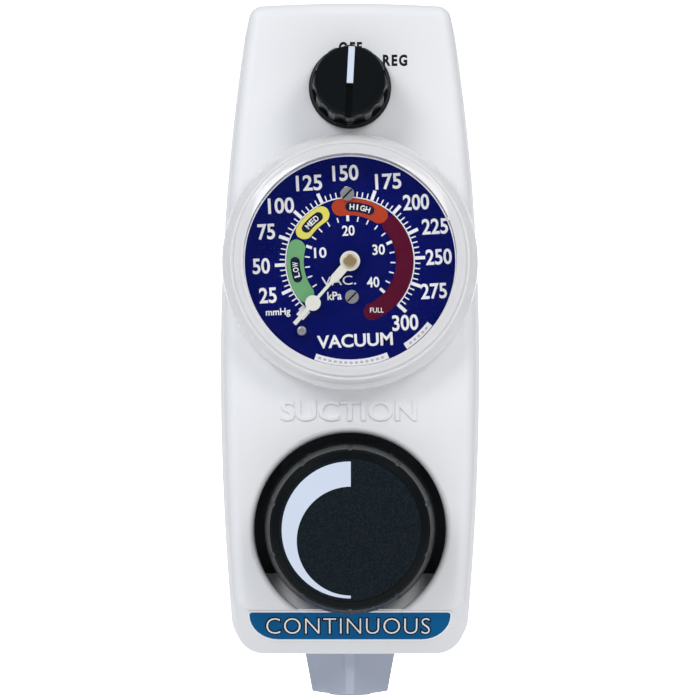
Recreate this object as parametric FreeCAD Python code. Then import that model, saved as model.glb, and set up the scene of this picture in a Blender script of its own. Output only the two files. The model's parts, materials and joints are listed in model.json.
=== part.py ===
"""Wall-mounted continuous vacuum regulator, in millimetres.

X points right, Y points back to the wall and Z up. The origin is the mouth of the inlet port in the
back, level with the gauge. Clock angles are measured clockwise from straight up, as the front shows.
"""
import FreeCAD, Part
import math
import os

V = FreeCAD.Vector
TINY = 0.02  # clearance between pieces that are fixed to each other
RUNNING = 0.05  # radial clearance of a shaft that turns or slides in a bore

# Levels along Y, from the wall to the front
BACK_Y = -4.0
PLATE_FRONT_Y = -7.0
BLOCK_FRONT_Y = -19.0
FRONT_Y = -50.0
WALL = 2.5
BEHIND_Y = 5.0
AHEAD_Y = -75.0
CHIN_STEP = 3.0
CHIN_TOP_Y = FRONT_Y + CHIN_STEP

# Front cover outline at the wall
TOP_Z = 70.0
BOTTOM_Z = -104.2
WIDEST_Z = -24.0
HALF_WIDTH = 36.3
UPPER_BOW = 620.0
LOWER_BOW = 820.0
CROWN = 0.9
TOP_CORNER = 3.8
BOTTOM_CORNER = 8.0
SIDE_DRAFT = 3.0
TOP_DRAFT = 1.4
EDGE_ROUND = 3.4
PLATE_GAP = 0.15
POST_R = 3.4

# Chin below the front face
PLATEAU_BOTTOM_Z = -92.0
PLATEAU_CORNER = 5.0
CHIN_SLOPE = 30.0
LABEL_HALF_WIDTH = 26.7
LABEL_HEIGHT = 8.5
LABEL_LOW_CORNER = 7.6
LABEL_TOP_CORNER = 0.8
LABEL_THICK = 0.3
LABEL_DROP = 0.7

# Axes of the three controls
SELECTOR_Z = 46.4
KNOB_Z = -70.6

# Clearance hole round the regulating knob, with a ledge that slopes in from the chin
WELL_R = 25.4
WELL_ROUND = 1.5
WELL_DEPTH = 10.0
LEDGE_DEPTH = 14.0
LEDGE_RISE = 9.0
LEDGE_HALF = 23.5
BONNET_CLEAR_R = 17.0

# Gauge
LENS_R = 33.9
LENS_INNER_R = 28.9
LENS_FACE_Y = -61.0
LENS_FACE_R = 29.0
LENS_THICK = 1.4
CASE_R = 29.9
CASE_BACK_Y = -28.0
CASE_WALL = 1.0
FLOOR_THICK = 1.2
GASKET = 0.6
CASE_FLANGE_R = 32.6
CASE_FLANGE = 1.3
DIAL_R = 28.6
DIAL_Y = -53.4
DIAL_THICK = 0.4
DIAL_SCREW_R = 0.8
DIAL_SCREWS = ((-0.7, 17.9), (0.5, -9.4))
STOP_PIN_R = 22.4
STOP_PIN_CLOCK = 214.6
POINTER_REST_CLOCK = 221.3
POINTER_Y = -55.6
POINTER_THICK = 0.4
SPINDLE_R = 0.8
CASE_SCREW_XS = (-7.0, 7.0)
SOCKET_Z = -18.0

# Gauge movement
MODULE = 0.5
TOOTH_ROOT = 0.62
TOOTH_TIP = 0.36
TOOTH_ROOT_HALF = 0.33
TOOTH_TIP_HALF = 0.13
PINION_TEETH = 10
SECTOR_TEETH = 60
SECTOR_SWEEP = 45.0
SECTOR_MARGIN = 9.0
TAIL_LENGTH = 4.5
PINION_R = MODULE * PINION_TEETH / 2
SECTOR_R = MODULE * SECTOR_TEETH / 2
SECTOR_Z = -PINION_R - SECTOR_R
REAR_PLATE_Y = -39.0
FRONT_PLATE_Y = -45.0
MOVEMENT_PLATE = 1.2
MOVEMENT_PILLARS = ((0.0, 9.0), (-9.0, -22.0), (9.0, -22.0))
SECTOR_Y = -41.6
SECTOR_THICK = 1.2
SECTOR_SHAFT_R = 0.9
LINK_PIN_R = 0.5
LINK_Y = -43.0
LINK_THICK = 0.6
BOURDON_R = 21.5
BOURDON_Y = -33.5
BOURDON_START_CLOCK = 167.0
BOURDON_SWEEP = 299.0
TIP_PIN_OFFSET = 4.2

# Fittings
PORT_R = 4.37
PORT_DEPTH = 8.5
INLET_R = 7.0
NIPPLE_R = 5.0
NIPPLE_BORE_R = 2.4
NIPPLE_TIP_Z = -107.2
OUTLET_GASKET = 0.3
RIB_HALF = 1.3
WAIST_R = 7.2
OUTLET_Y = -22.0
OUTLET_TOP_R = 12.3
OUTLET_END_R = 10.1
OUTLET_LENGTH = 11.7

# Selector valve
SELECTOR_SWEEP = 60.0
SELECTOR_KNOB_R = 10.95
SELECTOR_CAP_R = 9.6
SELECTOR_FACE_R = 8.4
SELECTOR_FACE_Y = -66.0
SELECTOR_FLUTES = 12
SLOT_TILT = 3.0
ROTOR_R = 6.0
STEM_R = 4.0
STEM_FLAT = 0.9
VALVE_BODY_R = 11.0
STOP_ORBIT = 8.7
STOP_PIN = 1.0
SEALS_Y = (-28.0, -37.0)
SEAL_GROOVE = 1.5
SLOT_HALF = 0.85
SLOT_DEPTH = 1.6
SELECTOR_PORT_X = 8.5
CROSS_PORT_Y = -32.0
SELECTOR_SCREW_R = 1.0
SELECTOR_SCREW_Y = -57.0

# Regulator
KNOB_R = 22.4
KNOB_SHOULDER_R = 20.6
KNOB_FACE_R = 18.4
KNOB_FACE_Y = -66.5
KNOB_NOTCHES = 10
GROOVE_R = 1.3
GROOVE_DEPTH = 0.45
FACE_PLATE = 1.0
CRESCENT_R = 17.7
CRESCENT_INNER_R = 14.1
CRESCENT_INNER_X = 0.3
CRESCENT_INNER_DROP = 2.9
CRESCENT_DEPTH = 0.3
DIAPHRAGM_R = 23.0
DIAPHRAGM_THICK = 0.8
DIAPHRAGM_FRONT_Y = BLOCK_FRONT_Y - DIAPHRAGM_THICK
PLATE_THICK = 1.5
POPPET_STEM_R = 1.2
BONNET_SCREWS = 6
BONNET_SCREW_ORBIT = 20.2
BONNET_SCREW_R = 1.5
BONNET_FLANGE = 3.0
KEY_HALF = 1.8
JOURNAL_R = 4.5
FLANGE_R = 6.6
THREAD_R = 4.0
KNOB_SCREW_R = 1.5
KNOB_SCREW_Y = -55.0

# Screws that hold the block together, as (x, z)
BACK_SCREWS = ((-20.5, 61.0), (20.5, 61.0), (-24.0, -94.0), (24.0, -94.0))
UPPER_POST_Y = -48.0
LOWER_POST_Y = -43.4
BLOCK_SCREWS = ((-14.0, 30.0), (6.0, 30.0), (-14.0, -40.0), (14.0, -40.0))


# ---- helpers ----

def clock(radius, degrees, x=0.0, z=0.0):
    """X and Z of a point at a clock angle."""
    a = math.radians(degrees)
    return x + radius * math.sin(a), z + radius * math.cos(a)


def rod(radius, start, end):
    line = V(*end) - V(*start)
    return Part.makeCylinder(radius, line.Length, V(*start), line)


def disc(radius, y0, y1, x=0.0, z=0.0):
    return rod(radius, (x, y0, z), (x, y1, z))


def through(radius, x=0.0, z=0.0):
    """Drill that passes through the whole object from back to front."""
    return disc(radius, BEHIND_Y, AHEAD_Y, x, z)


def ring(outer, inner, y0, y1, x=0.0, z=0.0):
    return disc(outer, y0, y1, x, z).cut(disc(inner, y0, y1, x, z))


def box(x0, x1, y0, y1, z0, z1):
    return Part.makeBox(abs(x1 - x0), abs(y1 - y0), abs(z1 - z0), V(min(x0, x1), min(y0, y1), min(z0, z1)))


def turned(profile, z=0.0):
    """Solid turned about the Y direction from (radius, y) corners."""
    points = [V(r, y, z) for r, y in profile]
    face = Part.Face(Part.makePolygon(points + points[:1]))
    return face.revolve(V(0, 0, z), V(0, 1, 0), 360)


def prism(points, y0, y1):
    """Polygon of (x, z) points carried from y0 to y1."""
    corners = [V(x, y0, z) for x, z in points]
    face = Part.Face(Part.makePolygon(corners + corners[:1]))
    return face.extrude(V(0, y1 - y0, 0))


def fused(shapes):
    first, rest = shapes[0], list(shapes[1:])
    return (first.multiFuse(rest) if rest else first).removeSplitter()


def cut_all(body, tools):
    for tool in tools:
        body = body.cut(tool)
    return body


def spun(shape, degrees, x=0.0, z=0.0):
    """Copy turned clockwise, as the front shows, about an axis along Y."""
    copy = shape.copy()
    copy.rotate(V(x, 0, z), V(0, 1, 0), degrees)
    return copy


def capsule(half_width, x0, z0, x1, z1, y0, y1):
    """Flat bar with round ends between two points."""
    length = math.hypot(x1 - x0, z1 - z0)
    along = V((x1 - x0) / length, 0, (z1 - z0) / length)
    side = V(along.z, 0, -along.x) * half_width
    a, b = V(x0, y0, z0), V(x1, y0, z1)
    edges = [
        Part.LineSegment(a + side, b + side).toShape(),
        Part.Arc(b + side, b + along * half_width, b - side).toShape(),
        Part.LineSegment(b - side, a - side).toShape(),
        Part.Arc(a - side, a - along * half_width, a + side).toShape(),
    ]
    return Part.Face(Part.Wire(edges)).extrude(V(0, y1 - y0, 0))


def coil(radius, wire_r, y0, y1, turns, z):
    """Spring along Y made of half rings, tilted to and fro so that they join end to end."""
    low, high = min(y0, y1) + wire_r, max(y0, y1) - wire_r
    rise = (high - low) / (2 * turns)
    halves = []
    for k in range(2 * turns):
        side = 1 if k % 2 == 0 else -1
        start = V(side * radius, low + k * rise, z)
        end = V(-side * radius, low + (k + 1) * rise, z)
        axis = (end - start).cross(V(0, 0, side))
        section = Part.Face(Part.Wire(Part.makeCircle(wire_r, start, V(0, 0, 1))))
        halves.append(section.revolve((start + end) * 0.5, axis, 180))
    return halves[0].multiFuse(halves[1:])


def screw(x, z, seat_y, length, r, head_r, head, into):
    """Cylinder-head screw along Y; into is +1 or -1, the way its shank points."""
    shank = disc(r, seat_y, seat_y + into * length, x, z)
    cap = disc(head_r, seat_y, seat_y - into * head, x, z)
    slot_half, slot_bottom = 0.16 * head_r, 0.45 * head
    slot = box(x - head_r, x + head_r, seat_y - into * head, seat_y - into * slot_bottom,
               z - slot_half, z + slot_half)
    return shank.fuse(cap).cut(slot)


def flat_head_screw(x, z, seat_y, length, r, head_r):
    """Countersunk screw entered from the wall side."""
    head = Part.makeCone(head_r, r, head_r - r, V(x, seat_y, z), V(0, -1, 0))
    shank = disc(r, seat_y, seat_y - length, x, z)
    slot_depth, slot_half = 0.7, 0.4
    slot = box(x - head_r, x + head_r, seat_y, seat_y - slot_depth, z - slot_half, z + slot_half)
    return head.fuse(shank).cut(slot)


def flat_on_stem(z, y0, y1, gap=0.0):
    """Block that leaves a flat along the lower side of a stem."""
    reach = STEM_R + 2
    return box(-reach, reach, y0, y1, z - reach, z - STEM_R + STEM_FLAT - gap)


# ---- housing ----

def side_half_width(z, inset):
    bow = UPPER_BOW if z > WIDEST_Z else LOWER_BOW
    return HALF_WIDTH - inset - (z - WIDEST_Z) ** 2 / (2 * bow)


def outline(inset, top, bottom, y):
    """Bowed sides, a crowned top and a flat bottom, with sharp corners."""
    def side(sign, z):
        return V(sign * side_half_width(z, inset), y, z)

    above, below = (WIDEST_Z + top) / 2, (WIDEST_Z + bottom) / 2
    edges = [
        Part.Arc(side(-1, top), V(0, y, top + CROWN), side(1, top)).toShape(),
        Part.Arc(side(1, top), side(1, above), side(1, WIDEST_Z)).toShape(),
        Part.Arc(side(1, WIDEST_Z), side(1, below), side(1, bottom)).toShape(),
        Part.LineSegment(side(1, bottom), side(-1, bottom)).toShape(),
        Part.Arc(side(-1, bottom), side(-1, below), side(-1, WIDEST_Z)).toShape(),
        Part.Arc(side(-1, WIDEST_Z), side(-1, above), side(-1, top)).toShape(),
    ]
    return Part.Wire(edges)


def corner_edges(shape, z, high, depth):
    """Edges that run from back to front at the upper or lower corners."""
    least_run = 0.8 * depth
    found = []
    for edge in shape.Edges:
        run = edge.BoundBox
        beyond = run.ZMin > z if high else run.ZMax < z
        if run.YLength > least_run and beyond:
            found.append(edge)
    return found


def housing_block(inset, front_y, back_y):
    """Tapered block with round corners; inset moves every wall in."""
    taper = (back_y - front_y) / (BACK_Y - FRONT_Y)
    top, bottom = TOP_Z - inset, BOTTOM_Z + inset
    rear = outline(inset, top, bottom, back_y)
    face = outline(inset + SIDE_DRAFT * taper, top - TOP_DRAFT * taper, bottom, front_y)
    block = Part.makeLoft([rear, face], True, True)
    depth, corner_zone = back_y - front_y, 12.0
    upper = corner_edges(block, TOP_Z - corner_zone, True, depth)
    block = block.makeFillet(TOP_CORNER - inset * 0.8, upper)
    lower = corner_edges(block, BOTTOM_Z + corner_zone, False, depth)
    return block.makeFillet(BOTTOM_CORNER - inset, lower)


def round_front(block, radius, front_y):
    edges = [e for e in block.Edges if e.BoundBox.YMax < front_y + 0.01]
    return block.makeFillet(radius, edges)


def chin_wedge(back_off):
    """Everything in front of the sloping chin, moved back by back_off."""
    slope = math.tan(math.radians(CHIN_SLOPE))
    rise, fall, reach, ahead = 6.0, 20.0, 60.0, -90.0
    at_step = CHIN_TOP_Y + back_off
    points = [
        V(-reach, at_step - rise * slope, PLATEAU_BOTTOM_Z + rise),
        V(-reach, at_step + fall * slope, PLATEAU_BOTTOM_Z - fall),
        V(-reach, ahead, PLATEAU_BOTTOM_Z - fall),
        V(-reach, ahead, PLATEAU_BOTTOM_Z + rise),
    ]
    return Part.Face(Part.makePolygon(points + points[:1])).extrude(V(2 * reach, 0, 0))


def plateau_keep(grow):
    """Prism of the raised face above the chin, with round lower corners."""
    half = side_half_width(PLATEAU_BOTTOM_Z, SIDE_DRAFT) + grow
    keep = box(-half, half, -95, -30, PLATEAU_BOTTOM_Z - grow, PLATEAU_BOTTOM_Z + 40)
    low = [e for e in keep.Edges if e.BoundBox.ZMax < PLATEAU_BOTTOM_Z + 0.1 and e.BoundBox.YLength > 10]
    return keep.makeFillet(PLATEAU_CORNER + grow, low)


def well_tool():
    """Round hole for the regulating knob, with a rolled rim, open below at the chin."""
    rim, lip, back = FRONT_Y + WELL_ROUND, WELL_R + WELL_ROUND, FRONT_Y + WELL_DEPTH
    ahead = FRONT_Y - 5
    bend = WELL_ROUND * (1 - math.sqrt(0.5))
    edges = [
        Part.LineSegment(V(0, back, 0), V(WELL_R, back, 0)).toShape(),
        Part.LineSegment(V(WELL_R, back, 0), V(WELL_R, rim, 0)).toShape(),
        Part.Arc(V(WELL_R, rim, 0), V(WELL_R + bend, FRONT_Y + bend, 0), V(lip, FRONT_Y, 0)).toShape(),
        Part.LineSegment(V(lip, FRONT_Y, 0), V(lip, ahead, 0)).toShape(),
        Part.LineSegment(V(lip, ahead, 0), V(0, ahead, 0)).toShape(),
        Part.LineSegment(V(0, ahead, 0), V(0, back, 0)).toShape(),
    ]
    tool = Part.Face(Part.Wire(edges)).revolve(V(0, 0, 0), V(0, 1, 0), 360)
    tool.translate(V(0, 0, KNOB_Z))
    return tool.common(box(-lip, lip, ahead - 1, back + 1, PLATEAU_BOTTOM_Z, 0))


def well_ledge():
    """Sloping plate behind the lower end of the hole, cut clear of the bonnet."""
    drop = 3.5
    y, z = CHIN_TOP_Y, PLATEAU_BOTTOM_Z
    points = [
        V(-LEDGE_HALF, y, z),
        V(-LEDGE_HALF, y + LEDGE_DEPTH, z + LEDGE_RISE),
        V(-LEDGE_HALF, y + LEDGE_DEPTH, z + LEDGE_RISE - drop),
        V(-LEDGE_HALF, y + 1, z - drop),
    ]
    plate = Part.Face(Part.makePolygon(points + points[:1])).extrude(V(2 * LEDGE_HALF, 0, 0))
    return plate.cut(chin_wedge(0.0)).cut(through(BONNET_CLEAR_R, z=KNOB_Z))


def cover_posts():
    """Screw posts inside the cover at its four corners."""
    posts = []
    pilot_r, pilot_end = 1.3, -22.0
    for x, z in BACK_SCREWS:
        end_y = UPPER_POST_Y if z > 0 else LOWER_POST_Y
        post = disc(POST_R, PLATE_FRONT_Y, end_y, x, z)
        posts.append(post.cut(disc(pilot_r, PLATE_FRONT_Y, pilot_end, x, z)))
    return posts


def front_cover():
    shell = round_front(housing_block(0.0, FRONT_Y, BACK_Y), EDGE_ROUND, FRONT_Y)
    shell = shell.cut(chin_wedge(0.0).cut(plateau_keep(0.0)))
    cavity = housing_block(WALL, FRONT_Y + WALL, BACK_Y + 1.0)
    shell = shell.cut(cavity.cut(chin_wedge(WALL)))
    shell = shell.cut(well_tool())
    shell = fused([shell, well_ledge()] + cover_posts())
    front_hole = FRONT_Y + 10
    holes = [
        disc(CASE_R + 0.5, front_hole, AHEAD_Y),
        disc(STEM_R + 1, front_hole, AHEAD_Y, z=SELECTOR_Z),
        rod(NIPPLE_R + 1, (0, OUTLET_Y, BOTTOM_Z - 1), (0, OUTLET_Y, BOTTOM_Z + WALL + 1)),
    ]
    return cut_all(shell, holes)


def countersink(x, z, r, head_r):
    return through(r, x, z).fuse(Part.makeCone(head_r, r, head_r - r, V(x, BACK_Y, z), V(0, -1, 0)))


def back_plate():
    plate = housing_block(WALL + PLATE_GAP, PLATE_FRONT_Y, BACK_Y)
    plate = plate.cut(through(INLET_R + 0.2))
    sinks = [countersink(x, z, 1.8, 3.5) for x, z in BACK_SCREWS]
    sinks += [countersink(x, z, 2.1, 4.0) for x, z in BLOCK_SCREWS]
    return cut_all(plate, sinks)


def back_plate_screws():
    return Part.Compound([flat_head_screw(x, z, BACK_Y, 14.0, 1.28, 2.9) for x, z in BACK_SCREWS])


def manifold_screws():
    return Part.Compound([flat_head_screw(x, z, BACK_Y, 10.0, 1.98, 3.8) for x, z in BLOCK_SCREWS])


def mode_label():
    """Thin plate on the chin, with wide round lower corners."""
    half, near = LABEL_HALF_WIDTH, 0.1
    blank = box(-half, half, 0, -LABEL_THICK, -LABEL_HEIGHT, 0)

    def thickness_edges(shape, z):
        boxes = [(edge, edge.BoundBox) for edge in shape.Edges]
        return [edge for edge, run in boxes
                if abs(run.ZMax - z) < near and abs(run.ZMin - z) < near and run.XLength < near]

    blank = blank.makeFillet(LABEL_LOW_CORNER, thickness_edges(blank, -LABEL_HEIGHT))
    blank = blank.makeFillet(LABEL_TOP_CORNER, thickness_edges(blank, 0.0))
    blank.rotate(V(0, 0, 0), V(1, 0, 0), CHIN_SLOPE)
    slope = math.tan(math.radians(CHIN_SLOPE))
    blank.translate(V(0, CHIN_TOP_Y + LABEL_DROP * slope, PLATEAU_BOTTOM_Z - LABEL_DROP))
    return blank


# ---- manifold and fittings ----

def manifold_passages():
    """Drillings: supply up to the selector, down to the valve, chamber to gauge and outlet."""
    supply_y, return_y, side, chamber = -16.7, -10.5, 14.0, 15.0
    small, middle, large = 1.2, 1.4, 2.0
    drain_z, open_y = -96.0, BLOCK_FRONT_Y - 1
    route = [
        (small, (0, supply_y, 0), (0, supply_y, SELECTOR_Z)),
        (small, (0, supply_y, SELECTOR_Z), (0, open_y, SELECTOR_Z)),
        (middle, (SELECTOR_PORT_X, open_y, SELECTOR_Z), (SELECTOR_PORT_X, return_y, SELECTOR_Z)),
        (middle, (SELECTOR_PORT_X, return_y, SELECTOR_Z), (side, return_y, SELECTOR_Z)),
        (middle, (side, return_y, SELECTOR_Z), (side, return_y, KNOB_Z)),
        (middle, (side, return_y, KNOB_Z), (0, return_y, KNOB_Z)),
        (small, (0, supply_y, KNOB_Z + chamber), (0, supply_y, SOCKET_Z)),
        (small, (0, supply_y, SOCKET_Z), (0, open_y, SOCKET_Z)),
        (large, (0, supply_y, KNOB_Z - chamber), (0, supply_y, drain_z)),
        (large, (0, supply_y, drain_z), (0, OUTLET_Y, drain_z)),
    ]
    return [rod(radius, start, end) for radius, start, end in route]


def bonnet_screw_places():
    step = 360 / BONNET_SCREWS
    return [clock(BONNET_SCREW_ORBIT, step * (k + 0.5), 0, KNOB_Z) for k in range(BONNET_SCREWS)]


def manifold_block():
    half, top, bottom = 19.0, 56.0, -100.5
    body = box(-half, half, PLATE_FRONT_Y, BLOCK_FRONT_Y, bottom, top)
    pad = disc(DIAPHRAGM_R + 1, -12.0, BLOCK_FRONT_Y, z=KNOB_Z)
    boss = box(-12, 12, BLOCK_FRONT_Y, -33.0, -101.0, -94.4)
    body = fused([body, pad, boss])
    tools = [
        disc(INLET_R + TINY, 0, -13.5),
        disc(6.5, -13.0, -18.0),
        disc(17.0, -15.0, -25.0, z=KNOB_Z),
        disc(5.0 + TINY, -13.0, -15.5, z=KNOB_Z),
        disc(4.6, -8.5, -13.5, z=KNOB_Z),
        rod(NIPPLE_R + TINY, (0, OUTLET_Y, -105), (0, OUTLET_Y, -95.2)),
    ]
    for x, z in bonnet_screw_places():
        tools.append(disc(BONNET_SCREW_R + TINY, -13.5, -25, x, z))
    for x, z in BLOCK_SCREWS:
        tools.append(disc(2.0, -5, -14.4, x, z))
    return cut_all(body, tools + manifold_passages())


def inlet_fitting():
    """Screwed fitting with a bevelled hexagon, a port thread bore and a groove for its ring."""
    hex_r, bevel = 9.2, 0.9
    corners = [clock(hex_r, 30 + 60 * k) for k in range(6)]
    head = prism(corners, 0.0, BACK_Y)
    head = head.common(Part.makeCone(hex_r - bevel, hex_r + 3.1, -BACK_Y, V(0, 0, 0), V(0, -1, 0)))
    body = head.fuse(disc(INLET_R, BACK_Y, -13.4))
    tools = [
        disc(PORT_R, 0.1, -PORT_DEPTH),
        disc(3.0, -PORT_DEPTH + 0.1, -14.0),
        ring(INLET_R + 2, 5.35, -9.4, -11.2),
    ]
    return cut_all(body, tools)


def inlet_o_ring():
    return Part.makeTorus(6.2, 0.8, V(0, -10.3, 0), V(0, 1, 0))


def inlet_filter():
    return disc(6.3, -13.5, -15.3)


def outlet_rod(radius, low, high):
    return rod(radius, (0, OUTLET_Y, low), (0, OUTLET_Y, high))


def outlet_nipple():
    top = -95.4
    return outlet_rod(NIPPLE_R, NIPPLE_TIP_Z, top).cut(outlet_rod(NIPPLE_BORE_R, NIPPLE_TIP_Z - 1, top + 1))


def outlet_gasket():
    low = BOTTOM_Z - OUTLET_GASKET
    return outlet_rod(7.4, low, BOTTOM_Z).cut(outlet_rod(NIPPLE_R + 0.1, low, BOTTOM_Z))


def lobed_wire(radius, rib_half, waist, z):
    """Four narrow ribs with hollow flanks between them."""
    reach = math.sqrt(radius ** 2 - rib_half ** 2)
    edges = []
    for k in range(4):
        a, b = math.radians(90 * k), math.radians(90 * (k + 1))

        def point(angle, along, across):
            return V(along * math.sin(angle) + across * math.cos(angle),
                     OUTLET_Y - along * math.cos(angle) + across * math.sin(angle), z)

        middle = point((a + b) / 2, waist, 0)
        edges.append(Part.Arc(point(a, reach, -rib_half), point(a, radius, 0),
                              point(a, reach, rib_half)).toShape())
        edges.append(Part.Arc(point(a, reach, rib_half), middle, point(b, reach, -rib_half)).toShape())
    return Part.Wire(edges)


def outlet_adapter():
    """Ribbed grip that screws on below, with a slightly domed end and a port."""
    top = BOTTOM_Z - OUTLET_GASKET
    end = top - OUTLET_LENGTH
    shrink = OUTLET_END_R / OUTLET_TOP_R
    dome_r = 60.0
    upper = lobed_wire(OUTLET_TOP_R, RIB_HALF, WAIST_R, top)
    lower = lobed_wire(OUTLET_END_R, RIB_HALF * shrink, WAIST_R * shrink, end)
    body = Part.makeLoft([upper, lower], True, True)
    dome = Part.makeSphere(dome_r, V(0, OUTLET_Y, end + dome_r))
    body = body.common(dome).fuse(outlet_rod(PORT_R + 1.3, end, end + 1.0))
    tools = [
        outlet_rod(NIPPLE_R + TINY, NIPPLE_TIP_Z, top + 1),
        outlet_rod(NIPPLE_BORE_R, end - 1, top),
        outlet_rod(PORT_R, end - 1, end + PORT_DEPTH),
    ]
    return cut_all(body, tools)


# ---- gauge ----

def gauge_case():
    """Shallow cup with a flange that rests on the cover's front."""
    flange_y, floor_y = FRONT_Y - GASKET, CASE_BACK_Y - FLOOR_THICK
    cup = disc(CASE_R, CASE_BACK_Y, DIAL_Y + 0.1)
    cup = cup.cut(disc(CASE_R - CASE_WALL, floor_y, DIAL_Y - 1))
    cup = cup.fuse(ring(CASE_FLANGE_R, CASE_R - 0.5, flange_y, flange_y - CASE_FLANGE))
    window = box(-4.7, 4.7, BLOCK_FRONT_Y, floor_y - 1, -24.2, -11.8)
    screws = [disc(1.1, BLOCK_FRONT_Y, floor_y - 1, x, SOCKET_Z) for x in CASE_SCREW_XS]
    return cut_all(cup, [window] + screws)


def gauge_case_screws():
    seat = CASE_BACK_Y - FLOOR_THICK
    return Part.Compound([screw(x, SOCKET_Z, seat, 5.0, 1.0, 1.8, 1.1, 1) for x in CASE_SCREW_XS])


def gauge_gasket():
    return ring(CASE_FLANGE_R, CASE_R + 0.5, FRONT_Y, FRONT_Y - GASKET)


def straight(points):
    return [Part.LineSegment(p, q).toShape() for p, q in zip(points, points[1:])]


def gauge_lens():
    """Clear cover: wide rounded rim, upright inner wall and a flat face."""
    flange_y = FRONT_Y - GASKET - CASE_FLANGE
    skirt_y, shoulder_y, inner_y = flange_y + CASE_FLANGE, flange_y - 1.2, LENS_FACE_Y + LENS_THICK
    seat_r, clip_r = CASE_R + TINY, CASE_FLANGE_R + TINY
    bevel = V(LENS_FACE_R + 1.2, LENS_FACE_Y + 0.5, 0)
    front = [V(0, LENS_FACE_Y, 0), V(LENS_FACE_R, LENS_FACE_Y, 0), bevel]
    corners = [
        (LENS_R, shoulder_y), (LENS_R, skirt_y), (clip_r, skirt_y), (clip_r, flange_y - TINY),
        (seat_r, flange_y - TINY), (seat_r, DIAL_Y), (LENS_INNER_R, DIAL_Y), (LENS_INNER_R, inner_y),
        (0, inner_y), (0, LENS_FACE_Y),
    ]
    side = [V(r, y, 0) for r, y in corners]
    rim = Part.Arc(front[-1], V(LENS_R - 1.0, LENS_FACE_Y + 3.6, 0), side[0]).toShape()
    face = Part.Face(Part.Wire(straight(front) + [rim] + straight(side)))
    return face.revolve(V(0, 0, 0), V(0, 1, 0), 360)


def gauge_dial():
    plate = disc(DIAL_R, DIAL_Y + DIAL_THICK, DIAL_Y)
    tools = [through(1.5), through(0.6, *clock(STOP_PIN_R, STOP_PIN_CLOCK))]
    tools += [through(DIAL_SCREW_R + RUNNING, x, z) for x, z in DIAL_SCREWS]
    return cut_all(plate, tools)


def dial_screws():
    """Two slotted screws, both left with their slots at a slant."""
    slant, length, head_r, head = -45.0, 3.0, 1.8, 0.7
    screws = []
    for x, z in DIAL_SCREWS:
        screws.append(spun(screw(x, z, DIAL_Y, length, DIAL_SCREW_R, head_r, head, 1), slant, x, z))
    return Part.Compound(screws)


def pointer_stop_pin():
    x, z = clock(STOP_PIN_R, STOP_PIN_CLOCK)
    tip = DIAL_Y - 2.6
    head = disc(1.25, DIAL_Y, tip, x, z)
    head = head.makeFillet(0.5, [e for e in head.Edges if e.BoundBox.YMax < tip + 0.1])
    return head.fuse(disc(0.58, DIAL_Y, DIAL_Y + 1.2, x, z))


def gauge_socket():
    """Block that joins the gauge to the manifold and holds the bent tube's open end."""
    body = box(-9, 9, BLOCK_FRONT_Y, CASE_BACK_Y, -26, -10)
    body = body.fuse(box(-4.5, 4.5, CASE_BACK_Y, REAR_PLATE_Y, -24, -12))
    screw_end, screw_r = CASE_BACK_Y + 4.4, 1.0 + TINY
    tools = [disc(screw_r, screw_end, CASE_BACK_Y - 1, x, SOCKET_Z) for x in CASE_SCREW_XS]
    tools += [
        disc(1.2, BLOCK_FRONT_Y + 1, BOURDON_Y, z=SOCKET_Z),
        rod(1.0, (0, BOURDON_Y, SOCKET_Z), (3.0, BOURDON_Y, SOCKET_Z - 3.0)),
        bourdon_tube(),
    ]
    return cut_all(body, tools)


def bourdon_tube():
    """Flattened tube bent round the movement, open end in the socket."""
    flat, round_y, edge, half = 0.45, 2.9, 1.1, 1.4
    section = [(-flat, -round_y), (flat, -round_y), (edge, -half), (edge, half),
               (flat, round_y), (-flat, round_y), (-edge, half), (-edge, -half)]
    points = [V(BOURDON_R + r, BOURDON_Y + y, 0) for r, y in section]
    face = Part.Face(Part.makePolygon(points + points[:1]))
    tube = face.revolve(V(0, 0, 0), V(0, 1, 0), -BOURDON_SWEEP)
    tube.rotate(V(0, 0, 0), V(0, 1, 0), BOURDON_START_CLOCK - 90)
    return tube


def bourdon_end():
    """Place of the pin in the tube's closed end."""
    return clock(BOURDON_R, BOURDON_START_CLOCK - BOURDON_SWEEP - TIP_PIN_OFFSET)


def bourdon_tip():
    """Closed end cap with the pin that reaches forward to the link."""
    half, over_y, over_r = 1.6, 3.6, 1.9
    block = box(-2 * half, 0, BOURDON_Y - over_y, BOURDON_Y + over_y,
                BOURDON_R - over_r, BOURDON_R + over_r)
    block = spun(block, BOURDON_START_CLOCK - BOURDON_SWEEP)
    return block.fuse(disc(0.9, BOURDON_Y, LINK_Y + 0.3, *bourdon_end()))


def kite(y0, y1):
    """Movement plate: a rounded triangle round its pillars, bored for both shafts."""
    reach = 2.8
    tips = [DIAL_SCREWS[0]] + list(MOVEMENT_PILLARS[:0:-1])
    bars = [capsule(reach, *tips[k], *tips[(k + 1) % 3], y0, y1) for k in range(3)]
    plate = fused(bars + [prism(tips, y0, y1)])
    return cut_all(plate, [through(SPINDLE_R + RUNNING), through(SECTOR_SHAFT_R + RUNNING, z=SECTOR_Z)])


def movement_plates():
    return Part.Compound([kite(y, y - MOVEMENT_PLATE) for y in (REAR_PLATE_Y, FRONT_PLATE_Y)])


def movement_pillars():
    """Spacers between the plates, and the two posts that carry the dial."""
    posts = [disc(1.5, REAR_PLATE_Y - MOVEMENT_PLATE, FRONT_PLATE_Y, x, z) for x, z in MOVEMENT_PILLARS]
    front = DIAL_Y + DIAL_THICK
    for x, z in DIAL_SCREWS:
        post = disc(1.6, FRONT_PLATE_Y - MOVEMENT_PLATE, front, x, z)
        posts.append(post.cut(disc(DIAL_SCREW_R + TINY, front + 4.0, AHEAD_Y, x, z)))
    return Part.Compound(posts)


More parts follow.
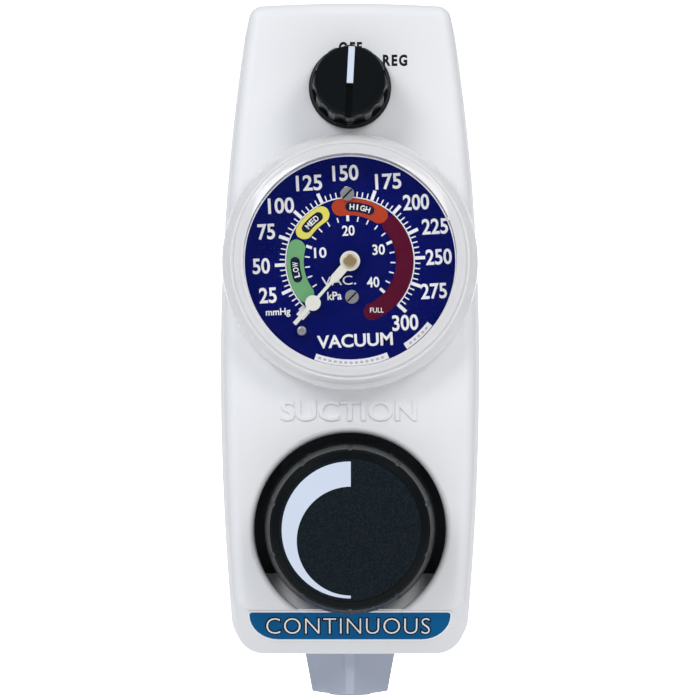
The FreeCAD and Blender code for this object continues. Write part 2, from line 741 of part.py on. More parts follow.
def tooth(pitch_r, y0, y1, degrees, x, z):
    """Tapered gear tooth, thin enough to leave backlash."""
    root, tip = pitch_r - TOOTH_ROOT, pitch_r + TOOTH_TIP
    points = [(-TOOTH_ROOT_HALF, root), (-TOOTH_TIP_HALF, tip),
              (TOOTH_TIP_HALF, tip), (TOOTH_ROOT_HALF, root)]
    shape = prism(points, y0, y1)
    shape.translate(V(x, 0, z))
    return spun(shape, degrees, x, z)


def pointer_spindle():
    """Arbor with the pinion and the hairspring collet."""
    rear, front = SECTOR_Y + 0.3, SECTOR_Y - SECTOR_THICK - 0.3
    arbor = disc(SPINDLE_R, REAR_PLATE_Y + 0.4, POINTER_Y - 0.5)
    hub = disc(PINION_R - 0.6, rear, front)
    collet = disc(1.2, front, FRONT_PLATE_Y + 0.15)
    step = 360 / PINION_TEETH
    first = 180 + step / 2 - SECTOR_SWEEP / 2 * SECTOR_TEETH / PINION_TEETH
    teeth = [tooth(PINION_R, rear, front, first + step * k, 0, 0) for k in range(PINION_TEETH)]
    return fused([arbor, hub, collet] + teeth)


def sector_gear():
    """Toothed sector and tail; at rest the pinion is at the end of its sweep."""
    y0, y1 = SECTOR_Y, SECTOR_Y - SECTOR_THICK
    pitch, lead = 360 / SECTOR_TEETH, SECTOR_SWEEP / 2
    count = int((lead + SECTOR_MARGIN - 1.5) / pitch)
    half_span, steps = lead + SECTOR_MARGIN, 6
    rim_r, inner_share = SECTOR_R - 0.6, 0.8
    outer = [clock(rim_r, half_span * k / steps) for k in range(-steps, steps + 1)]
    inner = [clock(rim_r * inner_share, half_span * k / steps) for k in range(steps, -steps - 1, -1)]
    rim = prism(inner + outer, y0, y1)
    rim.translate(V(0, 0, SECTOR_Z))
    spoke = capsule(1.4, 0, SECTOR_Z, 0, SECTOR_Z + rim_r * 0.9, y0, y1)
    tail = capsule(1.3, 0, SECTOR_Z, 0, SECTOR_Z - TAIL_LENGTH, y0, y1)
    hub = disc(2.0, y0 + 0.3, y1 - 0.15, z=SECTOR_Z)
    teeth = [tooth(SECTOR_R, y0, y1, pitch * k, 0, SECTOR_Z) for k in range(-count, count + 1)]
    gear = spun(fused([rim, spoke, tail, hub] + teeth), lead, 0, SECTOR_Z)
    return cut_all(gear, [through(SECTOR_SHAFT_R, z=SECTOR_Z), through(LINK_PIN_R, *tail_point())])


def tail_point():
    return clock(TAIL_LENGTH, 180 + SECTOR_SWEEP / 2, 0, SECTOR_Z)


def link_pin():
    return disc(LINK_PIN_R, SECTOR_Y + 0.2, LINK_Y - LINK_THICK - 0.2, *tail_point())


def sector_shaft():
    return disc(SECTOR_SHAFT_R, REAR_PLATE_Y - 0.1, FRONT_PLATE_Y - MOVEMENT_PLATE - 0.3, z=SECTOR_Z)


def gauge_link():
    """Flat link from the sector's tail to the tip of the bent tube."""
    start, end = tail_point(), bourdon_end()
    bar = capsule(1.0, *start, *end, LINK_Y, LINK_Y - LINK_THICK)
    return cut_all(bar, [through(LINK_PIN_R + RUNNING, *start), through(LINK_PIN_R + RUNNING, *end)])


def hairspring():
    """Flat spiral made of half rings, with its outer end on the top pillar."""
    strip, step, y0, y1 = 0.14, 0.5, -43.7, -44.5
    half_turns, reach = 12, 20
    parts = []
    radius = 1.35
    for k in range(half_turns):
        centre, side = (0.0, 1) if k % 2 == 0 else (step / 2, -1)
        half = ring(radius + strip, radius, y0, y1)
        half = half.common(box(-reach, reach, y0 + 1, y1 - 1, 0, reach * side))
        half.translate(V(centre, 0, 0))
        parts.append(half)
        radius += step / 2
    spiral = fused(parts)
    end_x = spiral.BoundBox.XMax - strip
    parts = [spiral, box(end_x, end_x + strip, y0, y1, 0.0, 9.0), box(end_x, 1.51, y0, y1, 8.9, 9.05)]
    return fused(parts)


def gauge_pointer():
    """White hand: round hub, broad neck, thin stalk, round blob and a bar tip; built pointing up."""
    y0, y1 = POINTER_Y + POINTER_THICK, POINTER_Y
    neck, thin, bar = 1.15, 0.42, 0.55
    neck_end, thin_start, blob_z, bar_start, tip_z = 6.2, 7.6, 14.8, 16.4, 22.2
    left = [(-neck, 0), (-neck, neck_end), (-thin, thin_start), (-thin, tip_z - 4)]
    shaft = prism(left + [(-x, z) for x, z in reversed(left)], y0, y1)
    tip = prism([(-bar, bar_start), (-bar, tip_z), (bar, tip_z), (bar, bar_start)], y0, y1)
    hand = fused([disc(2.65, y0 + 0.2, y1), shaft, disc(2.05, y0, y1, 0, blob_z), tip])
    return spun(hand.cut(through(SPINDLE_R)), POINTER_REST_CLOCK)


def pointer_cap():
    front = POINTER_Y - 1.0
    cap = disc(1.75, POINTER_Y, front)
    cap = cap.makeFillet(0.35, [e for e in cap.Edges if e.BoundBox.YMax < front + 0.1])
    return cap.cut(disc(SPINDLE_R + TINY, POINTER_Y + 0.5, POINTER_Y - 0.6))


# ---- selector valve ----

def selector_body():
    """Round valve body on the manifold, bored for the rotor."""
    y0 = BLOCK_FRONT_Y
    body = disc(VALVE_BODY_R, y0, -43.0, z=SELECTOR_Z)
    tools = [
        disc(ROTOR_R + RUNNING, -25.0, AHEAD_Y, z=SELECTOR_Z),
        disc(1.2, y0 + 1, -26.0, z=SELECTOR_Z),
        disc(1.4, y0 + 1, CROSS_PORT_Y, SELECTOR_PORT_X, SELECTOR_Z),
        rod(1.4, (0, CROSS_PORT_Y, SELECTOR_Z), (SELECTOR_PORT_X + 1.1, CROSS_PORT_Y, SELECTOR_Z)),
        disc(STOP_PIN, -39.0, AHEAD_Y, *clock(STOP_ORBIT, 180, 0, SELECTOR_Z)),
    ]
    return cut_all(body, tools)


def selector_stop_pin():
    return disc(STOP_PIN - TINY, -39.2, -45.0, *clock(STOP_ORBIT, 180, 0, SELECTOR_Z))


def selector_cap():
    """Screwed cap that holds the rotor in and guides its stem."""
    body = disc(13.0, -36.0, -47.2, z=SELECTOR_Z)
    tools = [
        disc(VALVE_BODY_R + TINY, -35, -43.0, z=SELECTOR_Z),
        disc(10.4, -42.5, -45.4, z=SELECTOR_Z),
        through(STEM_R + RUNNING, z=SELECTOR_Z),
    ]
    notches = 6
    for k in range(notches):
        x, z = clock(14.6, 360 * k / notches, 0, SELECTOR_Z)
        tools.append(disc(2.4, -35, -45, x, z))
    return cut_all(body, tools)


def selector_rotor():
    """Valve plug, its slotted stop flange and the stem to the knob."""
    flange_y, flange_front = -43.3, -45.2
    body = fused([
        disc(ROTOR_R, -25.2, flange_y, z=SELECTOR_Z),
        disc(10.1, flange_y, flange_front, z=SELECTOR_Z),
        disc(STEM_R, flange_front, -62.0, z=SELECTOR_Z),
    ])
    margin, half = math.degrees(0.1 / STOP_ORBIT), STOP_PIN + 0.2
    rear, front, arc_steps = flange_y + 0.1, flange_front - 0.1, 4
    first, last = 180 - SELECTOR_SWEEP - margin, 180 + margin
    sweep = [clock(30, first + (last - first) * k / arc_steps, 0, SELECTOR_Z) for k in range(arc_steps + 1)]
    slot = ring(STOP_ORBIT + half, STOP_ORBIT - half, rear, front, z=SELECTOR_Z)
    tools = [slot.common(prism([(0, SELECTOR_Z)] + sweep, rear + 0.2, front - 0.2))]
    tools += [disc(half, rear, front, *clock(STOP_ORBIT, angle, 0, SELECTOR_Z)) for angle in (first, last)]
    x, z = clock(12, 90 - SELECTOR_SWEEP, 0, SELECTOR_Z)
    tools.append(rod(1.3, (0, CROSS_PORT_Y, SELECTOR_Z), (x, CROSS_PORT_Y, z)))
    tools.append(disc(1.3, -25, CROSS_PORT_Y, z=SELECTOR_Z))
    tools += [ring(8, 4.75, y, y - SEAL_GROOVE, z=SELECTOR_Z) for y in SEALS_Y]
    tools.append(flat_on_stem(SELECTOR_Z, -54, -63))
    return cut_all(body, tools)


def selector_o_rings():
    middles = [V(0, y - SEAL_GROOVE / 2, SELECTOR_Z) for y in SEALS_Y]
    return Part.Compound([Part.makeTorus(5.4, 0.62, middle, V(0, 1, 0)) for middle in middles])


def selector_slot():
    """Groove across the knob's face, tilted a little."""
    reach = 12
    groove = box(-SLOT_HALF, SLOT_HALF, SELECTOR_FACE_Y + SLOT_DEPTH, SELECTOR_FACE_Y - 1,
                 SELECTOR_Z - reach, SELECTOR_Z + reach)
    return spun(groove, SLOT_TILT, 0, SELECTOR_Z)


def set_screw(radius, y, z, inner, outer):
    """Plain grub screw that points up at a stem's flat."""
    return rod(radius, (0, y, z - inner), (0, y, z - outer))


def selector_knob():
    """Fluted knob with a skirt, a bevelled cap and a slot across its face."""
    front, skirt_y, hub_back = SELECTOR_FACE_Y, -50.7, -52.0
    profile = [
        (0, skirt_y), (SELECTOR_KNOB_R, skirt_y), (SELECTOR_KNOB_R, skirt_y - 1.5),
        (SELECTOR_KNOB_R - 0.5, skirt_y - 2.3), (SELECTOR_CAP_R + 0.35, skirt_y - 3.3),
        (SELECTOR_CAP_R, front + 1.6), (SELECTOR_CAP_R - 0.45, front + 0.6),
        (SELECTOR_FACE_R, front), (0, front),
    ]
    flute_r, flute_orbit, roof = 3.0, SELECTOR_CAP_R + 2.55, front + 4.4
    tools = [selector_slot()]
    for k in range(SELECTOR_FLUTES):
        x, z = clock(flute_orbit, 360 * (k + 0.5) / SELECTOR_FLUTES, 0, SELECTOR_Z)
        tools.append(disc(flute_r, skirt_y - 2.9, AHEAD_Y, x, z))
    tools.append(disc(SELECTOR_CAP_R - 1.8, -50, roof, z=SELECTOR_Z))
    body = cut_all(turned(profile, SELECTOR_Z), tools)
    body = fused([body, disc(6.4, hub_back, roof, z=SELECTOR_Z)])
    stem = disc(STEM_R + TINY, -50, -62.0, z=SELECTOR_Z).cut(flat_on_stem(SELECTOR_Z, -54, -63, 2 * TINY))
    hole = set_screw(SELECTOR_SCREW_R, SELECTOR_SCREW_Y, SELECTOR_Z, STEM_R - STEM_FLAT, 12)
    return cut_all(body, [stem, hole])


def selector_set_screw():
    inner = STEM_R - STEM_FLAT + TINY
    return set_screw(SELECTOR_SCREW_R - TINY, SELECTOR_SCREW_Y, SELECTOR_Z, inner, 6.2)


def selector_line():
    """White fill of the upper half of the slot."""
    half, front = SLOT_HALF - TINY, SELECTOR_FACE_Y - 0.03
    inlay = box(-half, half, SELECTOR_FACE_Y + SLOT_DEPTH - TINY, front,
                SELECTOR_Z - 0.6, SELECTOR_Z + SELECTOR_CAP_R)
    edge_r = SELECTOR_CAP_R - 0.5
    profile = [(0, -50), (edge_r, -50), (edge_r, SELECTOR_FACE_Y + 0.6), (SELECTOR_FACE_R, front), (0, front)]
    cap = turned(profile, SELECTOR_Z)
    return spun(inlay.common(cap), SLOT_TILT, 0, SELECTOR_Z)


# ---- regulator ----

def diaphragm():
    tools = [disc(2.5, -10, -30, z=KNOB_Z)]
    tools += [through(BONNET_SCREW_R + 0.2, x, z) for x, z in bonnet_screw_places()]
    return cut_all(disc(DIAPHRAGM_R, BLOCK_FRONT_Y, DIAPHRAGM_FRONT_Y, z=KNOB_Z), tools)


def diaphragm_plate():
    """Spring plate in front of the diaphragm, with a stud and washer behind it."""
    y0, washer_y = DIAPHRAGM_FRONT_Y, BLOCK_FRONT_Y + 1.2
    body = fused([
        disc(10.4, y0, y0 - PLATE_THICK, z=KNOB_Z),
        disc(6.2, y0 - PLATE_THICK, y0 - PLATE_THICK - 1.2, z=KNOB_Z),
        disc(2.4, y0, washer_y, z=KNOB_Z),
        disc(8.0, BLOCK_FRONT_Y + TINY, washer_y, z=KNOB_Z),
    ])
    return body.cut(disc(POPPET_STEM_R + TINY, y0 - 0.4, -10, z=KNOB_Z))


def valve_seat():
    return ring(5.0, 2.2, -13.5, -15.5, z=KNOB_Z)


def poppet():
    stem = disc(POPPET_STEM_R, -12.0, DIAPHRAGM_FRONT_Y - 0.4, z=KNOB_Z)
    head = disc(3.6, -12.3, -13.45, z=KNOB_Z)
    return stem.fuse(head)


def poppet_spring():
    return coil(2.2, 0.3, -8.55, -12.2, 3, KNOB_Z)


def key_bars(half_width, radius, y0, y1):
    return box(-radius, radius, y0, y1, KNOB_Z - half_width, KNOB_Z + half_width)


def regulator_bonnet():
    """Flanged bell over the range spring, with two key ways and a nose for the screw."""
    y0 = DIAPHRAGM_FRONT_Y
    y1, bell_y, roof_y = y0 - BONNET_FLANGE, -43.5, -41.0
    body = fused([
        disc(DIAPHRAGM_R + 0.5, y0, y1, z=KNOB_Z),
        disc(16.0, y1, bell_y, z=KNOB_Z),
        disc(8.0, bell_y, -46.6, z=KNOB_Z),
    ])
    tools = [
        disc(15.0, y0 + 1, y1, z=KNOB_Z),
        disc(11.5, y1 + 0.1, roof_y, z=KNOB_Z),
        key_bars(KEY_HALF + 0.2, 13.4, y1 + 0.1, roof_y),
        disc(JOURNAL_R + RUNNING, roof_y + 1, AHEAD_Y, z=KNOB_Z),
    ]
    tools += [through(BONNET_SCREW_R + 0.2, x, z) for x, z in bonnet_screw_places()]
    return cut_all(body, tools)


def bonnet_screws():
    seat = DIAPHRAGM_FRONT_Y - BONNET_FLANGE
    screws = [screw(x, z, seat, 9.0, BONNET_SCREW_R, 2.7, 2.2, 1) for x, z in bonnet_screw_places()]
    return Part.Compound(screws)


def adjusting_screw():
    """Left-hand screw: held lengthwise by its flange, keyed to the knob."""
    flange_y, flange_front, journal_front = -39.0, -40.45, -48.6
    body = fused([
        disc(THREAD_R, -23.5, flange_y, z=KNOB_Z),
        disc(FLANGE_R, flange_y, flange_front, z=KNOB_Z),
        disc(JOURNAL_R, flange_front, journal_front, z=KNOB_Z),
        disc(STEM_R, journal_front, -60.5, z=KNOB_Z),
    ])
    return body.cut(flat_on_stem(KNOB_Z, -52, -61))


def thrust_washer():
    return ring(FLANGE_R, JOURNAL_R + 0.1, -40.5, -41.0, z=KNOB_Z)


def spring_nut():
    """Nut with two keys that slide in the bonnet, so that it can't turn."""
    y0, y1, key_r = -33.6, -38.2, 13.1
    nut = disc(11.0, y0, y1, z=KNOB_Z)
    nut = nut.fuse(key_bars(KEY_HALF, key_r, y0, y1).common(disc(key_r, y0, y1, z=KNOB_Z)))
    return nut.cut(through(THREAD_R + RUNNING, z=KNOB_Z))


def range_spring():
    rear = DIAPHRAGM_FRONT_Y - PLATE_THICK - RUNNING
    return coil(8.0, 0.9, rear, -33.5, 4, KNOB_Z)


def crescent(y0, y1):
    """Crescent on the left of the knob's face, cut straight at the top."""
    outer = disc(CRESCENT_R, y0, y1, 0, KNOB_Z)
    inner = disc(CRESCENT_INNER_R, y0 + 1, y1 - 1, CRESCENT_INNER_X, KNOB_Z - CRESCENT_INNER_DROP)
    reach = 30
    half = box(-reach, 0.2, y0, y1, KNOB_Z - reach, KNOB_Z + reach)
    return outer.cut(inner).common(half)


def knob_crescent():
    """White inlay that stands just proud of the face plate."""
    return crescent(KNOB_FACE_Y + CRESCENT_DEPTH, KNOB_FACE_Y - 0.03)


def knob_face_plate():
    """Grained disc let into the front of the knob."""
    plate = disc(KNOB_FACE_R - TINY, KNOB_FACE_Y + FACE_PLATE, KNOB_FACE_Y, z=KNOB_Z)
    return plate.cut(crescent(KNOB_FACE_Y + CRESCENT_DEPTH, KNOB_FACE_Y - 1))


def grip_groove(degrees):
    """Rod that cuts one shallow groove down the tapered side."""
    front = clock(KNOB_SHOULDER_R + GROOVE_R - GROOVE_DEPTH, degrees, 0, KNOB_Z)
    rear = clock(KNOB_R + GROOVE_R - 0.1, degrees, 0, KNOB_Z)
    return rod(GROOVE_R, (rear[0], -55.5, rear[1]), (front[0], KNOB_FACE_Y - 1.0, front[1]))


def regulating_knob():
    """Wide knob: plain skirt, tapered grooved side and a rim round the face plate."""
    front, skirt_y = KNOB_FACE_Y, -48.6
    profile = [
        (0, skirt_y), (KNOB_R - 0.4, skirt_y), (KNOB_R, skirt_y - 0.6), (KNOB_R, -55.0),
        (KNOB_R - 0.35, -58.0),
        (KNOB_SHOULDER_R + 0.3, front + 1.9), (KNOB_SHOULDER_R - 0.3, front + 1.2),
        (KNOB_FACE_R + 0.3, front + 0.1), (KNOB_FACE_R, front + 0.1), (KNOB_FACE_R, front + FACE_PLATE),
        (0, front + FACE_PLATE),
    ]
    tools = [ring(KNOB_R - 2.4, 7.6, -48, front + 3.2, z=KNOB_Z)]
    tools += [grip_groove(360 * k / KNOB_NOTCHES) for k in range(KNOB_NOTCHES)]
    bore_y = -52.0
    tools += [
        disc(STEM_R + TINY, bore_y, -60.7, z=KNOB_Z).cut(flat_on_stem(KNOB_Z, bore_y, -63, 2 * TINY)),
        disc(JOURNAL_R + TINY, -48, bore_y, z=KNOB_Z),
        set_screw(KNOB_SCREW_R, KNOB_SCREW_Y, KNOB_Z, STEM_R - STEM_FLAT, 8.5),
    ]
    return cut_all(turned(profile, KNOB_Z), tools)


def knob_set_screw():
    inner = STEM_R - STEM_FLAT + TINY
    return set_screw(KNOB_SCREW_R - TINY, KNOB_SCREW_Y, KNOB_Z, inner, 7.4)


PIECES = [
    front_cover, back_plate, back_plate_screws, mode_label, manifold_block, manifold_screws,
    inlet_fitting, inlet_o_ring, inlet_filter, outlet_nipple, outlet_gasket, outlet_adapter,
    gauge_case, gauge_case_screws, gauge_gasket, gauge_lens, gauge_dial, dial_screws, pointer_stop_pin,
    gauge_socket, bourdon_tube, bourdon_tip, movement_plates, movement_pillars, pointer_spindle,
    sector_gear, link_pin, sector_shaft, gauge_link, hairspring, gauge_pointer, pointer_cap,
    selector_body, selector_stop_pin, selector_cap, selector_rotor, selector_o_rings, selector_knob,
    selector_set_screw, selector_line, diaphragm, diaphragm_plate, valve_seat, poppet, poppet_spring,
    regulator_bonnet, bonnet_screws, adjusting_screw, thrust_washer, spring_nut, range_spring,
    knob_crescent, knob_face_plate, regulating_knob, knob_set_screw,
]


def main():
    os.makedirs("parts", exist_ok=True)
    for piece in PIECES:
        shape = piece()
        if not shape.isValid():
            print("not valid:", piece.__name__)
        print(f"{piece.__name__:20s} solids {len(shape.Solids):2d} volume {shape.Volume:10.2f}")
        shape.exportStep(f"parts/{piece.__name__}.step")


main()
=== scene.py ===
"""Looks of the wall-mounted vacuum regulator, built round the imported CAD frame, in metres."""
import json
import math

import bmesh
import bpy
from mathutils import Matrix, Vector


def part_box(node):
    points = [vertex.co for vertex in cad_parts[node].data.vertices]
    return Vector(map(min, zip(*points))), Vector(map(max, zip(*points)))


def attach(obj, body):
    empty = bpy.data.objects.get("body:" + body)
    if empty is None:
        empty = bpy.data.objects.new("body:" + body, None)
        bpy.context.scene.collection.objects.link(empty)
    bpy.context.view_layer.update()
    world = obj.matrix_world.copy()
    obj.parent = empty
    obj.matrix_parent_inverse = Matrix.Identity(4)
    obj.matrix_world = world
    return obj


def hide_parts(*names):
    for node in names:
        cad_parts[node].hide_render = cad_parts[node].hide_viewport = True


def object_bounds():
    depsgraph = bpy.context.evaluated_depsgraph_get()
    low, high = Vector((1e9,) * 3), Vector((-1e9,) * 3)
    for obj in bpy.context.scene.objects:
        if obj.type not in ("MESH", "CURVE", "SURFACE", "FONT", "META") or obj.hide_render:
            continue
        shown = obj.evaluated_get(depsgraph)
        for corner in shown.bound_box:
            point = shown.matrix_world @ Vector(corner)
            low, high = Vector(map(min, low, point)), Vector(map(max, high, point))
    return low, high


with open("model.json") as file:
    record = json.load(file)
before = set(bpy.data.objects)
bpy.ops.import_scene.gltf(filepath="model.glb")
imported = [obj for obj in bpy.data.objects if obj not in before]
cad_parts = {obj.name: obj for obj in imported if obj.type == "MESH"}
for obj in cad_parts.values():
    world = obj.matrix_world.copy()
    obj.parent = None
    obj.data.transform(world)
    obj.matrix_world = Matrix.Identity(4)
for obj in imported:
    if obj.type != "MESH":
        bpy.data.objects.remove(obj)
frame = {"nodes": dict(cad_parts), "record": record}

CAD_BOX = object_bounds()
NODES = frame["nodes"]
MM = 0.001

# Two scales of the gauge, in millimetres and in clock degrees from the middle of the dial
ZERO_CLOCK = 222.0
DEGREES_PER_MMHG = 0.9
DEGREES_PER_KPA = 6.75
SCALE_END = 300
TICK_STEP = 5
NUMBER_STEP = 25
KPA_END = 40
KPA_TICK_STEP = 2
KPA_NUMBER_STEP = 10
SCALE_R = 17.0
KPA_R = 10.7
SCALE_LINE_HALF = 0.15
EDGE_LINE = (27.85, 28.1)

# Ticks as (length, width)
MAJOR_TICK = (2.9, 0.9)
MINOR_TICK = (1.6, 0.32)
ZERO_TICK = (2.9, 2.4)
KPA_MAJOR_TICK = (1.6, 0.75)
KPA_MINOR_TICK = (1.3, 0.35)

# Numbers, all leaning a little, some moved by (degrees, millimetres outwards) to clear their neighbours
ART_TURN = -3.0
NUMBER_R = 23.5
NUMBER_HEIGHT = 4.2
NUMBER_BOLD = 0.022
DIGIT_WIDTH = 2.3
NUMBER_NUDGE = {25: (3, 0), 100: (-3, 0), 125: (-2, 0), 175: (6, 0), 200: (6, 0), 225: (3, 0.8),
                300: (6, -1.7)}
KPA_NUMBER_R = 8.2
KPA_NUMBER_HEIGHT = 2.8
KPA_NUMBER_WIDTH = 3.3
KPA_NUMBER_BOLD = 0.02
KPA_NUDGE = {10: -3, 30: 3}

# Words on the dial as (word, place, height, width, boldness)
DIAL_WORDS = (
    ("VAC.", (-3.0, -5.1), 2.4, 9.1, 0.0),
    ("kPa", (-4.1, -9.1), 2.2, 3.8, 0.02),
    ("mmHg", (-19.0, -13.6), 2.4, 6.5, 0.02),
    ("VACUUM", (1.3, -20.9), 3.5, 20.0, 0.025),
)

# Coloured ranges in mmHg, and the middles of the words on them
BAND_R = 14.5
BAND_HALF = 2.25
BANDS = {"low": (3, 79), "medium": (81, 128), "full": (196, 337), "high": (132, 199)}
BAND_WORDS = {"LOW": 43.5, "MED": 104.5, "HIGH": 165.0}
PILL_HALF = 1.25
PILL_REACH = {3: 13.5, 4: 15.5}  # degrees either side, for words of 3 and 4 letters
LETTER_STEP = 5.6
LETTER_HEIGHT = 1.5
LETTER_WIDTH = 1.25
NARROW_LETTER_WIDTH = 0.4
LETTER_BOLD = 0.02
FULL_PLACE = (7.1, -12.9)
FULL_HEIGHT = 1.3
FULL_WIDTH = 3.6
FULL_BOLD = 0.01

# Painted shade in the slots of the dial screws, with heights above the front of the heads
SCREW_HEAD_R = 1.8
SLOT_SLANT = 45.0
SLOT_HALF = 0.2
SLOT_REACH = 0.93
SLOT_FLOOR = -0.36
SLOT_TOP = -0.12

# Printed strips at the lower edge of the dial, as clock degrees
STRIPS = ((128.0, 147.0), (158.0, 200.0))
STRIP_R = 26.8
STRIP_HALF = 0.85
DASH_HALF = 0.3
DASH_STEP = 3
DASH_SPAN = 1.7
FIRST_DASH = 2.5

# Clear cover of the gauge
RIM_WIDTH = 5.9
WINDOW_THICK = 1.4
RIM_LIP = 1.3
RIM_LIP_DROP = 0.5
ROLL_DEPTH = 7.4
ROLL_STEPS = 13
GROOVED_STEPS = (3, 9)
GROOVE_DEPTH = 0.35
SKIRT_THICK = 1.28
FLANGE_RECESS = 1.32
CASE_RELIEF = 1.0
RIM_DEPTH = 7.6
CREASE_DEGREES = 28

# Heights above a printed face, in millimetres
SUNK = -0.03
INK = 0.03
SECOND_INK = 0.06
THIRD_INK = 0.09
LETTER_INK = THIRD_INK + 0.03

# How finely curves are drawn
ARC_STEP = 3  # clock degrees
END_STEPS = 7
CORNER_STEPS = 8
BEND_STEPS = 8
RING_STEPS = 128
LATHE_STEPS = 160
FONT_STEPS = 4

LETTER_EXTRUDE = 0.1  # any depth, since each word is then fitted to its heights
WELD = 1e-8  # points nearer than this are one, in metres
LATHE_WELD = 1e-7

# Words on the cover as (word, place, width)
POSITION_WORDS = (("OFF", (0.1, 57.3), 6.2), ("REG", (12.0, 53.9), 6.5))
POSITION_HEIGHT = 3.1
POSITION_BOLD = 0.045
POSITION_SPACING = 1.3
EMBOSSED_PLACE = (-0.3, -39.4)
EMBOSSED_HEIGHT = 5.4
EMBOSSED_WIDTH = 36.0
EMBOSSED_RISE = 0.4
EMBOSSED_BEVEL = 0.02

# Label on the chin, with its words as (height, width)
CHIN_SLOPE = 30.0
LABEL_THICK = 0.3
LABEL_LOW_CORNER = 7.6
LABEL_TOP_CORNER = 0.8
LABEL_BORDER = 0.4
LABEL_WORD = "CONTINUOUS"
LABEL_WORD_X = -0.5
LABEL_SPACING = 1.08
LETTERS_SIZE = (4.9, 43.5)
LETTERS_BOLD = -0.016
OUTLINE_SIZE = (5.65, 44.3)
OUTLINE_BOLD = 0.042

# Studio and camera, in metres
MIDDLE = (0, -0.03, -0.02)
FLOOR_DROP = 0.2
SWEEP_HALF = 4.0
SWEEP_NEAR = -3.0
SWEEP_FAR = 1.6
SWEEP_BEND = 0.8
SWEEP_HEIGHT = 5.0
FLOOR_GLOW = 0.12
SCREEN_HALF = 0.34
SCREEN_Y = 1.05
SCREEN_GLOW = 1.0
KEY_SIDE = 0.6
KEY_AHEAD = -0.95
KEY_UP = 0.65
KEY_SIZE = 0.5
LEFT_POWER = 5.6
RIGHT_POWER = 4.7
AIR_POWER = 0.36
CAMERA_DISTANCE = 0.79
VIEW_WIDTH = 0.1855
SENSOR = 36.0
SUBJECT_Y = -0.050
EYE_Z = -0.0554
AIM_Z = -0.0233


# ---- materials ----

class Shader:
    """A node material with one Principled shader and helpers for procedural detail."""

    def __init__(self, name, rough=0.4, metallic=0.0, **sockets):
        self.material = bpy.data.materials.new(name)
        self.material.use_nodes = True
        self.tree = self.material.node_tree
        self.bsdf = self.tree.nodes["Principled BSDF"]
        self.bsdf.inputs["Roughness"].default_value = rough
        self.bsdf.inputs["Metallic"].default_value = metallic
        for socket, value in sockets.items():
            self.bsdf.inputs[socket.replace("_", " ")].default_value = value
        self.coords = self.tree.nodes.new("ShaderNodeTexCoord").outputs["Object"]

    def link(self, start, end):
        self.tree.links.new(start, end)
        return self

    def stretched(self, scale):
        mapping = self.tree.nodes.new("ShaderNodeMapping")
        mapping.inputs["Scale"].default_value = scale
        self.link(self.coords, mapping.inputs["Vector"])
        return mapping.outputs["Vector"]

    def noise(self, per_mm, detail=3.0, rough=0.5, squeeze=(1, 1, 1)):
        """Noise with about per_mm cells to the millimetre."""
        made = self.tree.nodes.new("ShaderNodeTexNoise")
        made.inputs["Scale"].default_value = per_mm / MM
        made.inputs["Detail"].default_value = detail
        made.inputs["Roughness"].default_value = rough
        self.link(self.stretched(squeeze), made.inputs["Vector"])
        return made.outputs["Fac"]

    def ramp(self, source, stops):
        made = self.tree.nodes.new("ShaderNodeValToRGB")
        ramp = made.color_ramp
        while len(ramp.elements) < len(stops):
            ramp.elements.new(0.5)
        for element, (place, colour) in zip(ramp.elements, stops):
            element.position = place
            element.color = (*colour, 1.0)
        self.link(source, made.inputs["Fac"])
        return made.outputs["Color"]

    def span(self, source, low, high):
        made = self.tree.nodes.new("ShaderNodeMapRange")
        made.inputs["To Min"].default_value = low
        made.inputs["To Max"].default_value = high
        self.link(source, made.inputs["Value"])
        return made.outputs["Result"]

    def colour(self, source):
        return self.link(source, self.bsdf.inputs["Base Color"])

    def roughness(self, source, low, high):
        return self.link(self.span(source, low, high), self.bsdf.inputs["Roughness"])

    def bump(self, source, depth_mm, strength=1.0):
        made = self.tree.nodes.new("ShaderNodeBump")
        made.inputs["Distance"].default_value = depth_mm * MM
        made.inputs["Strength"].default_value = strength
        self.link(source, made.inputs["Height"])
        return self.link(made.outputs["Normal"], self.bsdf.inputs["Normal"])


def shade(colour, amount):
    """The colour made lighter, or darker with a negative amount."""
    return tuple(max(0.0, c * (1.0 + amount)) for c in colour)


def moulded(name, colour, rough, grain_mm=0.35, depth_mm=0.006, variation=0.03, **sockets):
    """Moulded plastic: faint cloudy colour, fine grain and uneven gloss."""
    s = Shader(name, rough=rough, **sockets)
    cloud = s.noise(per_mm=0.05, detail=4.0)
    s.colour(s.ramp(cloud, [(0.3, shade(colour, -variation)), (0.7, shade(colour, variation))]))
    grain = s.noise(per_mm=1.0 / grain_mm, detail=5.0)
    s.roughness(grain, rough * 0.85, rough * 1.15)
    s.bump(grain, depth_mm)
    return s.material


def speckled(name, dark, light, rough):
    """Textured black plastic whose fine pits catch the light."""
    s = Shader(name, rough=rough, Specular_IOR_Level=0.08)
    pits = s.noise(per_mm=2.2, detail=4.0, rough=0.6)
    s.colour(s.ramp(pits, [(0.38, dark), (0.66, light)]))
    s.roughness(pits, rough * 0.8, rough * 1.2)
    s.bump(pits, depth_mm=0.03)
    return s.material


def metal(name, colour, rough, squeeze=(1, 1, 1), depth_mm=0.004, per_mm=3.0):
    """Machined metal: fine tool marks along one way and a slightly mottled tone."""
    s = Shader(name, rough=rough, metallic=1.0)
    marks = s.noise(per_mm, detail=6.0, squeeze=squeeze)
    s.colour(s.ramp(marks, [(0.3, shade(colour, -0.12)), (0.7, shade(colour, 0.08))]))
    s.roughness(marks, rough * 0.7, rough * 1.4)
    s.bump(marks, depth_mm)
    return s.material


